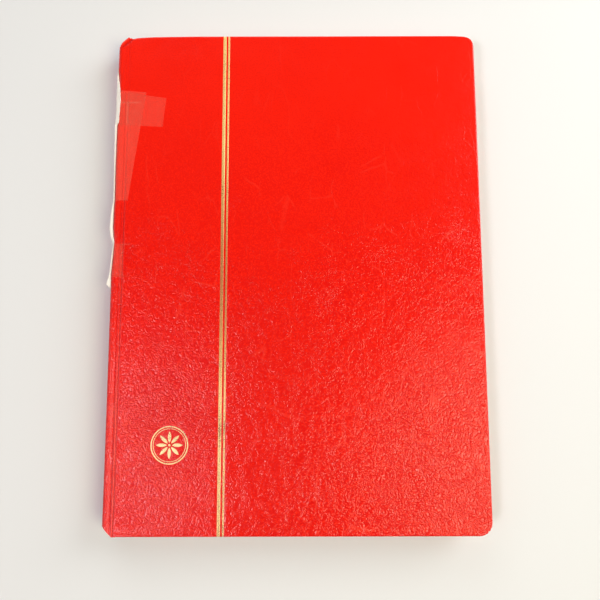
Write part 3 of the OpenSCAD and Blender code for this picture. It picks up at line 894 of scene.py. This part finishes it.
def torn_paper():
    """The white paper laid bare at the spine: each section leaves the shoulder, stands out to the torn edge
    and dies into the spine face below a ragged line. A smooth curve passes through its five places."""
    first, last = TORN_AT[0], TORN_AT[-1]
    v = np.unique(np.concatenate([np.linspace(first, last, 240), TORN_AT]))
    fray = 0.08 * waves(v, 0 * v, 1.6, 51) + 0.06 * waves(v, 0 * v, 0.7, 52)
    right = np.interp(v, TORN_AT, TORN_RIGHT) + fray
    left = np.interp(v, TORN_AT, TORN_LEFT) - 0.5 * fray
    roll = np.linspace(np.arctan(SIGHT), np.pi / 2, 60)
    turn = np.interp(right, SHOULDER_R * (1 - np.cos(roll) + SIGHT * (1 - np.sin(roll))), roll)
    off = np.maximum(0, BARE_EDGE - right) / SLANT + 0.14
    start_x = SHOULDER_R * (1 - np.cos(turn)) - off * np.cos(turn)
    start_z = THICK - SHOULDER_R + (SHOULDER_R + off) * np.sin(turn)
    low = THICK - 7.5 + 1.6 * waves(v, 0 * v, 17, 53) + 0.5 * waves(v, 0 * v, 3, 54)
    low = np.where(v > 153, low - 1.5, low)
    keep = 0.12 + 0.88 * smooth_step(v, first, 26) * (1 - 0.75 * smooth_step(v, 156, last))
    low = start_z - (start_z - low) * keep
    out_x = np.minimum(left - SIGHT * 1.4 * keep, start_x - 0.15)
    knots_x = places(start_x, out_x, left - SIGHT * 2.1 * keep, -0.42 - 0.2 * keep, -0.06)
    knots_z = places(start_z, THICK - 1.3 * keep - (1 - keep) * 1.6, THICK - 2.2 * keep - (1 - keep) * 2.0,
                     low + 2.2 * keep, low)
    basis = smooth_basis(np.linspace(0, 4, 26), 5)
    x, z = SPINE_X + knots_x @ basis, knots_z @ basis
    y = (HALF_L - v)[:, None]
    span = np.cumsum(np.hypot(np.diff(x, axis=1, prepend=x[:, :1]), np.diff(z, axis=1, prepend=z[:, :1])),
                     axis=1)
    piece = put_grid("torn_spine_paper", places(x, y, z), places(span, y))
    finish_piece(thicken(piece, TORN_T, 0.0), TORN_PAPER)
    return bend_front(piece)


def bare_tail_corner():
    """Core laid bare along the cut corner of the spine at the tail: a lip whose profile leaves the cover's
    edge, rounds over and returns below it, deepest halfway along."""
    profile = np.array([(-0.5, -0.55), (0.25, -0.50), (0.70, -0.62), (0.92, -1.0), (0.80, -2.0), (0.2, -3.2),
                        (-0.6, -3.6)])
    out, drop = profile.T @ smooth_basis(np.linspace(0, 6, 19), 7)
    t = np.linspace(0, 1, 40)[:, None]
    swell = np.sin(np.pi * np.clip(0.03 + 0.94 * t, 0, 1)) ** 0.4 + 0.06 * waves(t, 0 * t, 0.12, 55)
    a, b = np.array([SPINE_X + 0.25, -HALF_L + 5.6]), np.array([SPINE_X + 5.2, -HALF_L + 0.35])
    away = np.array([a[1] - b[1], b[0] - a[0]]) / -np.hypot(*(b - a))
    x, y = (a[i] + (b[i] - a[i]) * t + away[i] * out * swell for i in (0, 1))
    z = THICK + drop * (0.7 + 0.3 * swell)
    piece = put_grid("bare_tail_corner", places(x, y, z), places(np.linspace(0, 5, 19) + 0 * x, 7 * t))
    finish_piece(thicken(piece, TORN_T, 0.0), TORN_PAPER)
    return bend_front(piece)


def tape_relief(u, y):
    """Tape follows the joint only part of the way, and bridges the valley and the groove."""
    return 0.45 * joint_relief(u, y) + 0.02 * waves(u, y, 9, 61)


# Each tape: its outer corner at the head, (from the spine face, from the head, and from the head at the
# spine), the same at the tail, lift, seed and the solid. The long piece slants, and the short upper one
# lies across it.
TAPE_ALONG = ((17.8, 37.5, 35.9), (8.3, 107.1, 107.1), 0.10, 63, "tape_middle")
TAPE_UPPER = ((30.4, 41.4, 36.6), (28.5, 60.2, 58.5), 0.17, 65, "tape_upper")
TAPE_LOWER = ((15.6, 134.1, 133.9), (15.4, 154.4, 154.4), 0.10, 67, "tape_lower")

# Where the tape starts on the spine face, along the case, and its thickness
TAPE_START, TAPE_T = FACE_END - 0.6, 0.05


def air_along(u, v):
    """Air under the long piece: nearly all of it, most along a crease across and where it bridges the
    groove, less over the valley. Humps and smooth steps across and along."""
    over_groove = 0.7 * hump(u, GROOVE_AT, 1.3) * smooth_step(v, 43.6, 44.6) * (1 - smooth_step(v, 56, 60))
    return (0.85 - 0.2 * hump(u, 5.0, 0.6) + over_groove
            + 0.8 * hump(v, 44.2, 0.9) * (1 - smooth_step(u, 12, 16)))


def air_across_upper(u, v):
    """Air under the short upper piece: little where it lies on the long one, with a smooth step at that
    edge."""
    (u0, v0, _), (u1, v1, _) = TAPE_ALONG[:2]
    edge = u0 - (v - v0) * (u0 - u1) / (v1 - v0)
    return 0.16 + 0.52 * smooth_step(u, edge - 0.15, edge + 0.15)


def air_across_lower(u, v):
    """Air under the lower piece: over the joint only, with a rim of it round the edges."""
    rim = np.maximum(hump(v, 134.4, 0.5), hump(v, 153.9, 0.5)) * (1 - smooth_step(u, 9, 12))
    return np.maximum(0.62 * (1 - smooth_step(u, 6.0, 6.8)), 0.55 * rim)


def tape_piece(name, tape, air):
    """Clear tape between two slanting ends, wrapped over the shoulder. Its outer edge is nicked by the
    cutter, its lift has small wrinkles along it, and its ends stand a little loose."""
    (u0, v0, v0_in), (u1, v1, v1_in), lift, seed, stands_for = tape
    a, b = np.meshgrid(np.linspace(0, 1, 80), np.linspace(0, 1, 160), indexing="ij")
    nick = 0.09 * np.abs((b * 34) % 1 - 0.5)
    s = TAPE_START + (along_case(u0 + (u1 - u0) * b - nick) - TAPE_START) * a
    v_head, v_tail = v0_in + (v0 - v0_in) * a, v1_in + (v1 - v1_in) * a
    v = v_head + (v_tail - v_head) * b
    y = HALF_L - v
    creases = 0.05 * np.maximum(0, waves(s, y * 0.25, 2.2, seed)) + 0.03 * waves(s, y, 6, seed + 1)
    loose = smooth_step(b, 0.97, 1.0) + smooth_step(a, 0.985, 1.0)
    points, _ = case_point(s, y, lift + creases + 0.04 * loose, tape_relief)
    piece = put_grid(name, points, places(s, y), flip=True, air=air(from_spine(s), v))
    finish_piece(thicken(piece, TAPE_T), CLEAR_TAPE, (stands_for,))
    return bend_front(piece)


# ---------------------------------------------------------------- spine pieces

# The sheets, from the back: height of the first, pitch, and how many
SHEET_Z1, SHEET_PITCH, SHEETS = 3.15, 0.65, 17

# Where the sheets hinge, where a card starts and ends, and half its length; the block's lowest and highest
HINGE_X, CARD_X, PAGE_X, PAGE_HALF_L = -106.0, -102.6, 108.0, 148.5
STACK_LOW, STACK_HIGH = 2.825, 13.875

# The headbands: their axis, the core's radius and the silk's swell. The mull: its place, half its length, and
# how far it stays from the album's two faces
HEADBAND_X, HEADBAND_R, SILK_R = -108.0, 0.74, 0.06
MULL_X, MULL_HALF_L, MULL_IN = -110.03, 141, 2.6


def sheet_z(k):
    """Height of a sheet's middle, counted from the back."""
    return SHEET_Z1 + (k - 1) * SHEET_PITCH


def headband(name, side, stands_for):
    """Silk wound on a round core: a tube whose radius swells with each turn of the thread, closed by domed
    ends."""
    full = HEADBAND_R + SILK_R
    z, angle = np.meshgrid(np.linspace(STACK_LOW, STACK_HIGH, 150), np.linspace(0, 2 * np.pi, 25),
                           indexing="ij")
    r = HEADBAND_R + SILK_R * np.abs(np.sin(np.pi * (z + 0.12 * full * angle) / SILK_PITCH))
    end = np.minimum(z - STACK_LOW, STACK_HIGH - z)
    r = r * np.sqrt(np.clip(1 - (1 - np.clip(end / 0.4, 0, 1)) ** 2, 0, 1))
    x, y = HEADBAND_X + r * np.cos(angle), side * (PAGE_HALF_L + full) + r * np.sin(angle)
    piece = put_grid(name, places(x, y, z), places(full * angle, z), flip=True)
    finish_piece(piece, HEADBAND, stands_for)
    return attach(piece, "spine")


def spine_mull():
    """Open-weave cloth glued inside the stiffener: a flat sheet with the slight rise and fall of the glue."""
    y, z = np.meshgrid(np.linspace(-MULL_HALF_L, MULL_HALF_L, 140), np.linspace(MULL_IN, THICK - MULL_IN, 12),
                       indexing="ij")
    x = MULL_X + 0.02 * waves(y, z, 9, 71)
    piece = put_grid("spine_mull", places(x, y, z), places(z, y), flip=True)
    finish_piece(thicken(piece, 0.3, 0.0), MULL, ("spine_lining",))
    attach(piece, "spine")
    return piece


def paper_joint(name, front):
    """The strip of endpaper that joins the block to a cover's lining: a smooth curve through its places,
    from the guards, up past the flyleaf's hinge, on to the lining."""
    knots = np.array([(-109.6, 13.96), (-108.7, 13.97), (-108.0, 14.35), (-107.5, 15.2), (-107.3, 15.9),
                      (-106.9, 16.12), (-106.5, 16.13)])
    x, z = (knots.T @ smooth_basis(np.linspace(0, len(knots) - 1, 40), len(knots)))[:, :, None]
    y = np.linspace(-147.5, 147.5, 60)[None]
    z = z - 0.03 * (1 + waves(x * 4, y, 30, 81)) / 2
    piece = put_grid(name, places(x, y, z if front else THICK - z), flip=not front)
    finish_piece(thicken(piece, 0.1, 0.0), ENDPAPER)
    low, high = Vector((-108.7, 0, 13.97)) * MM, Vector((-107.2, 0, 16.1)) * MM
    if front:
        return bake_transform(piece)
    low.z, high.z = THICK * MM - low.z, THICK * MM - high.z
    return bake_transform(piece)


# ---------------------------------------------------------------- pages

# The linen: its lap on a card, half its length, and the radius of its bead
LINEN_LAP, LINEN_HALF_L, BEAD_R = 7, 145.5, 0.058

# The pocket strips: rows, height, and distance of the first from the tail, of all from the card's inner edge,
# and from its outer edge
STRIP_ROWS, STRIP_H, STRIP_FOOT, STRIP_IN, STRIP_SIDE = 9, 27.0, 7.0, 12, 5

# Radius of a loose sheet's corners
PAGE_R = 3.0


def linen_hinge(n):
    """The linen of one leaf, folded over its inner edge: it leaves the face of the card, closes to a tongue,
    turns round the bead and comes back to the other face."""
    lap_x = CARD_X + LINEN_LAP
    bead = np.radians(np.linspace(60, 300, 9))
    half = np.array([
        (lap_x, 0.288), (lap_x - 3, 0.285), (CARD_X + 1, 0.285), (CARD_X, 0.283), (CARD_X - 0.12, 0.22),
        (CARD_X - 0.22, 0.10), (CARD_X - 0.5, 0.034), (HINGE_X + 1.5, 0.032), (HINGE_X + 0.12, 0.034)])
    x = np.concatenate([half[:, 0], HINGE_X + BEAD_R * np.cos(bead), half[::-1, 0]])
    z = np.concatenate([half[:, 1], BEAD_R * np.sin(bead), -half[::-1, 1]])
    span = np.concatenate([[0], np.cumsum(np.hypot(np.diff(x), np.diff(z)))])
    y = np.linspace(-LINEN_HALF_L, LINEN_HALF_L, 41)[None]
    points = places(x[:, None], y, sheet_z(SHEETS + 1 - 2 * n) + z[:, None])
    piece = put_grid(f"linen_hinge_{n}", points, places(span[:, None], y), flip=True)
    finish_piece(thicken(piece, 0.055, 0.0), LINEN, (f"leaf_{n}_linen",))
    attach(piece, f"leaf_{n}")
    return piece


def pocket_strips(n):
    """Clear strips on both faces of a card: each is held along its foot and ends and stands a hair off the
    card along its open upper edge, so that a stamp slips in."""
    z = sheet_z(SHEETS + 1 - 2 * n)
    pitch = (2 * PAGE_HALF_L - 2 * STRIP_FOOT) / STRIP_ROWS
    x0, x1 = CARD_X + STRIP_IN, PAGE_X - STRIP_SIDE
    a, b = np.meshgrid(np.linspace(0, 1, 13), np.linspace(0, 1, 6), indexing="ij")
    ends = np.clip(np.minimum(a, 1 - a) / 0.04, 0, 1)
    points, faces, first = [], [], 0
    for row in range(STRIP_ROWS):
        for face in (-1, 1):
            open_edge = b ** 2 * ends * (0.10 + 0.02 * np.sin(7 * a + row + n))
            x, y = x0 + (x1 - x0) * a, -PAGE_HALF_L + STRIP_FOOT + row * pitch + STRIP_H * b
            points.append(places(x, y, z + face * (0.275 + open_edge)).reshape(-1, 3))
            faces.append(grid_faces(*a.shape, first=first, flip=face < 0))
            first += a.size
    piece = put_mesh(f"pocket_strips_{n}", np.concatenate(points), np.concatenate(faces), weld=False)
    finish_piece(thicken(piece, 0.04, 0.0), POCKET_FILM, (f"leaf_{n}_strips",))
    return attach(piece, f"leaf_{n}")


def loose_sheet(name, node, k, inset, thickness, look, wave):
    """A thin sheet with rounded corners that turns at its inner edge: it lies flat there and waves a little
    towards its free edges, no further than the space between sheets."""
    x1, half = PAGE_X - inset, PAGE_HALF_L - inset
    corner = np.linspace(0, np.pi / 2, 7)[1:]
    x = np.concatenate([[HINGE_X], np.linspace(HINGE_X + 3, x1 - PAGE_R, 44),
                        x1 - PAGE_R + PAGE_R * np.sin(corner)])
    cut = np.clip((x - (x1 - PAGE_R)) / PAGE_R, 0, 1)
    ends = half - PAGE_R + PAGE_R * np.sqrt(1 - cut ** 2)
    x, y = x[:, None], np.linspace(-1, 1, 50)[None] * ends[:, None]
    z = sheet_z(k) + wave * smooth_step(x, HINGE_X + 8, HINGE_X + 90) * waves(x, y, 110, 90 + k)
    piece = put_grid(name, places(x, y, z))
    finish_piece(thicken(piece, thickness, 0.0), look, (node,))
    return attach(piece, node + "_sheet")


# ---------------------------------------------------------------- the album put together

front_leatherette = leatherette_half("front_leatherette", front_relief, (WIDE_LINE, NARROW_LINE))
finish_piece(front_leatherette, RED, ("front_skin", "spine_skin"))
bend_front(front_leatherette)
back_leatherette = leatherette_half("back_leatherette", back_relief, back=True)
finish_piece(back_leatherette, RED, ("back_skin",))
bend_back(back_leatherette)

foil_line("gold_line_wide", WIDE_LINE, "gold_stripe_wide")
foil_line("gold_line_narrow", NARROW_LINE, "gold_stripe_narrow")
ornament()

torn_paper()
bare_tail_corner()
tape_piece("tape_along_spine", TAPE_ALONG, air_along)
tape_piece("tape_across_upper", TAPE_UPPER, air_across_upper)
tape_piece("tape_across_lower", TAPE_LOWER, air_across_lower)

headband("headband_head", 1, ("headbands",))
headband("headband_tail", -1, ())
spine_mull()
paper_joint("front_paper_joint", True)
paper_joint("back_paper_joint", False)

for leaf in range(1, 9):
    linen_hinge(leaf)
    pocket_strips(leaf)
    dress(f"leaf_{leaf}_card", PAGE_CARD)
for leaf in range(1, 8):
    loose_sheet(f"glassine_{leaf}", f"interleaf_{leaf}", SHEETS - 2 * leaf, 1.0, 0.05, GLASSINE,
                0.07)
loose_sheet("flyleaf_front", "front_flyleaf", SHEETS, 0.0, 0.15, ENDPAPER, 0.06)
loose_sheet("flyleaf_back", "back_flyleaf", 1, 0.0, 0.15, ENDPAPER, 0.06)

cover_board("front_board_knocked", "front_board", "front_cover")
cover_board("back_board_knocked", "back_board", "back_cover", back=True)
for node, look in (("spine_board", GREY_BOARD), ("back_pastedown", ENDPAPER), ("front_pastedown", ENDPAPER),
                   ("sewn_guards", GUARD_PAPER), ("sewing_threads", THREAD)):
    dress(node, look)


# ---------------------------------------------------------------- camera, light and floor, in metres

camera = bpy.data.objects.new("Camera", bpy.data.cameras.new("Camera"))
bpy.context.scene.collection.objects.link(camera)
bpy.context.scene.camera = camera
camera.data.sensor_width = 36
camera.data.lens = 32.487
camera.location = (0.0016, -0.0523, 0.3393)
camera.rotation_euler = np.radians((6.398, 0.005, -0.133))

# The floor, in millimetres, lies just under the lowest wave of the back cover
FLOOR_Z, FLOOR_HALF = -0.06, 4e3

# Soft lamps that face the album: name, place, size, power and tint
LAMPS = (
    ("Lamp_left", (-1.35, -0.1, 0.85), (0.9, 0.9), 1.8, (1, 1, 1)),
    ("Lamp_right", (0.8, 0.42, 0.52), (0.6, 0.6), 6.6, (1, 1, 1)),
    ("Lamp_head", (-0.3, 1.25, 0.66), (1.1, 0.6), 5.8, (1, 1, 1)),
    ("Lamp_near_left", (-0.61, -0.37, 1.05), (0.32, 0.24), 4.9, (1.0, 0.95, 1.0)),
    ("Lamp_near_right", (0.665, -0.39, 1.05), (0.55, 0.58), 8.2, (1.0, 0.93, 0.68)),
)


def seen_rays(tree):
    """1 for rays that show the backdrop as it is: from the camera, in gloss or through clear film."""
    path = add(tree, "LightPath").outputs
    return maths(tree, "MAXIMUM", maths(tree, "MAXIMUM", path["Is Camera Ray"], path["Is Glossy Ray"]),
                 path["Is Transmission Ray"])


def floor_material():
    """Matt pale floor that takes the album's shadow, and goes over to an even pale backdrop far from it."""
    made, tree, shader = material("pale_floor")
    feed(tree, shader, Base__Color=(0.79, 0.795, 0.80, 1), Roughness=0.9)
    shader.inputs["Specular IOR Level"].default_value = 0.2
    place = add(tree, "TexCoord").outputs["Object"]
    far = add(tree, "VectorMath", {"operation": "LENGTH"}, i0=place).outputs["Value"]
    distant = ramp(tree, maths(tree, "DIVIDE", far, 2.0), (0.17, 0.0), (0.40, 1.0))
    even = add(tree, "Emission", Color=(0.84, 0.83, 0.81, 1), Strength=1.0).outputs[0]
    both = add(tree, "MixShader", Fac=times(tree, distant, seen_rays(tree)), i1=shader.outputs[0], i2=even)
    tree.links.new(both.outputs[0], tree.nodes["Material Output"].inputs["Surface"])
    return made


def soft_light(name, place, size, power, tint):
    """An oblong soft lamp, turned to face the album."""
    lamp = bpy.data.objects.new(name, bpy.data.lights.new(name, "AREA"))
    lamp.data.shape = "RECTANGLE"
    lamp.data.size, lamp.data.size_y = size
    lamp.data.energy = power
    lamp.data.color = tint
    lamp.location = place
    lamp.rotation_euler = (-Vector(place)).to_track_quat("-Z", "Y").to_euler()
    bpy.context.scene.collection.objects.link(lamp)


def studio_world():
    """Faint even light from all round. The backdrop itself is pale at the horizon and darker overhead."""
    world = bpy.data.worlds.new("World")
    bpy.context.scene.world = world
    world.use_nodes = True
    tree = world.node_tree
    up = add(tree, "SeparateXYZ", i0=add(tree, "TexCoord").outputs["Generated"]).outputs[2]
    backdrop = add(tree, "MapRange", {"interpolation_type": "SMOOTHSTEP"},
                   i0=up, i1=0.2, i2=0.75, i3=0.84, i4=0.08)
    seen = seen_rays(tree)
    strength = plus(tree, times(tree, seen, backdrop.outputs[0]), times(tree, less(tree, 1.0, seen), 0.10))
    feed(tree, tree.nodes["Background"], Color=(1.0, 0.99, 0.97, 1), Strength=strength)


corners = np.array([(-1, -1), (1, -1), (1, 1), (-1, 1)]) * FLOOR_HALF
floor_mesh = put_mesh("floor", np.column_stack([corners, np.full(4, FLOOR_Z)]), np.array([[0, 1, 2, 3]]))
floor_mesh.data.materials.append(floor_material())
for lamp in LAMPS:
    soft_light(*lamp)
studio_world()

bpy.context.scene.view_settings.view_transform = "Standard"
